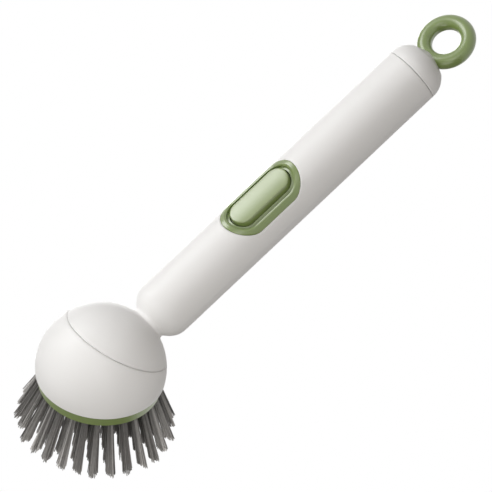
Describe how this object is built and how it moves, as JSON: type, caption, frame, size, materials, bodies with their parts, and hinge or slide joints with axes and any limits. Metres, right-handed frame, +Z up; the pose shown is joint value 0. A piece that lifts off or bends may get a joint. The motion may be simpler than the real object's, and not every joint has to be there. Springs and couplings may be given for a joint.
{
  "type": "dish wand",
  "caption": "Soap-dispensing dish wand: round hollow handle with a thumb pump, hanging ring, and a ball head carrying a fanned round brush.",
  "frame": {"origin": "centre of the hole in the hanging ring", "axes": "+Z up the handle's axis, away from the ball head; -Y is the side of the button; X runs across the handle, and the wand is mirror-symmetric about X = 0"},
  "size_m": [0.0824, 0.0851, 0.3069],
  "materials": {
    "body_white": "fine satin moulded plastic",
    "accent_green": "satin sage green moulded plastic",
    "bristle_grey": "nylon filaments",
    "seal_rubber": "smooth seal",
    "silicone": "milky silicone",
    "clear_plastic": "natural moulded plastic",
    "spring_steel": "stainless steel"
  },
  "bodies": {
    "handle": {"handle_shell": "body_white", "bezel_gasket": "seal_rubber", "button_bezel": "accent_green", "pump_body": "clear_plastic", "inlet_valve": "silicone", "outlet_valve": "silicone", "return_spring": "spring_steel", "delivery_tube": "silicone", "neck_grommet": "seal_rubber", "coupling_plate": "clear_plastic", "nozzle_o_ring": "seal_rubber"},
    "button": {"button_pad": "accent_green", "pump_piston": "clear_plastic", "piston_seal": "seal_rubber"},
    "cap_seal": {"cap_gasket": "seal_rubber"},
    "cap": {"end_cap": "body_white", "hanging_ring": "accent_green", "ring_clip": "spring_steel"},
    "head_seal": {"head_gasket": "seal_rubber"},
    "head": {"head_shell": "body_white", "brush_plate": "accent_green", "flow_elbow": "clear_plastic", "slit_valve": "silicone", "tufts_outer": "bristle_grey", "tufts_second": "bristle_grey", "tufts_third": "bristle_grey", "tufts_inner": "bristle_grey"}
  },
  "joints": [
    {"name": "button_press", "type": "slide", "parent": "handle", "child": "button", "axis": [0, 1, 0], "range_m": [0, 0.0022], "stiffness_N_per_m": 600, "springref_m": -0.003, "deforming": ["return_spring"]},
    {"name": "cap_lift", "type": "slide", "parent": "handle", "child": "cap_seal", "axis": [0, 0, 1], "range_m": [0, 0.006]},
    {"name": "cap_turn", "type": "hinge", "parent": "cap_seal", "child": "cap", "pos_m": [0, 0, -0.0247], "axis": [0, 0, 1], "range_deg": [0, 720]},
    {"name": "head_lift", "type": "slide", "parent": "handle", "child": "head_seal", "axis": [0, 0.5, -0.866], "range_m": [0, 0.004]},
    {"name": "head_turn", "type": "hinge", "parent": "head_seal", "child": "head", "pos_m": [0, 0, -0.2375], "axis": [0, 0.5, -0.866], "range_deg": [0, 90]}
  ],
  "couplings": [
    {"joint": "cap_turn", "follows": "cap_lift", "rad_per_m": 2094},
    {"joint": "head_turn", "follows": "head_lift", "rad_per_m": 392.6}
  ]
}
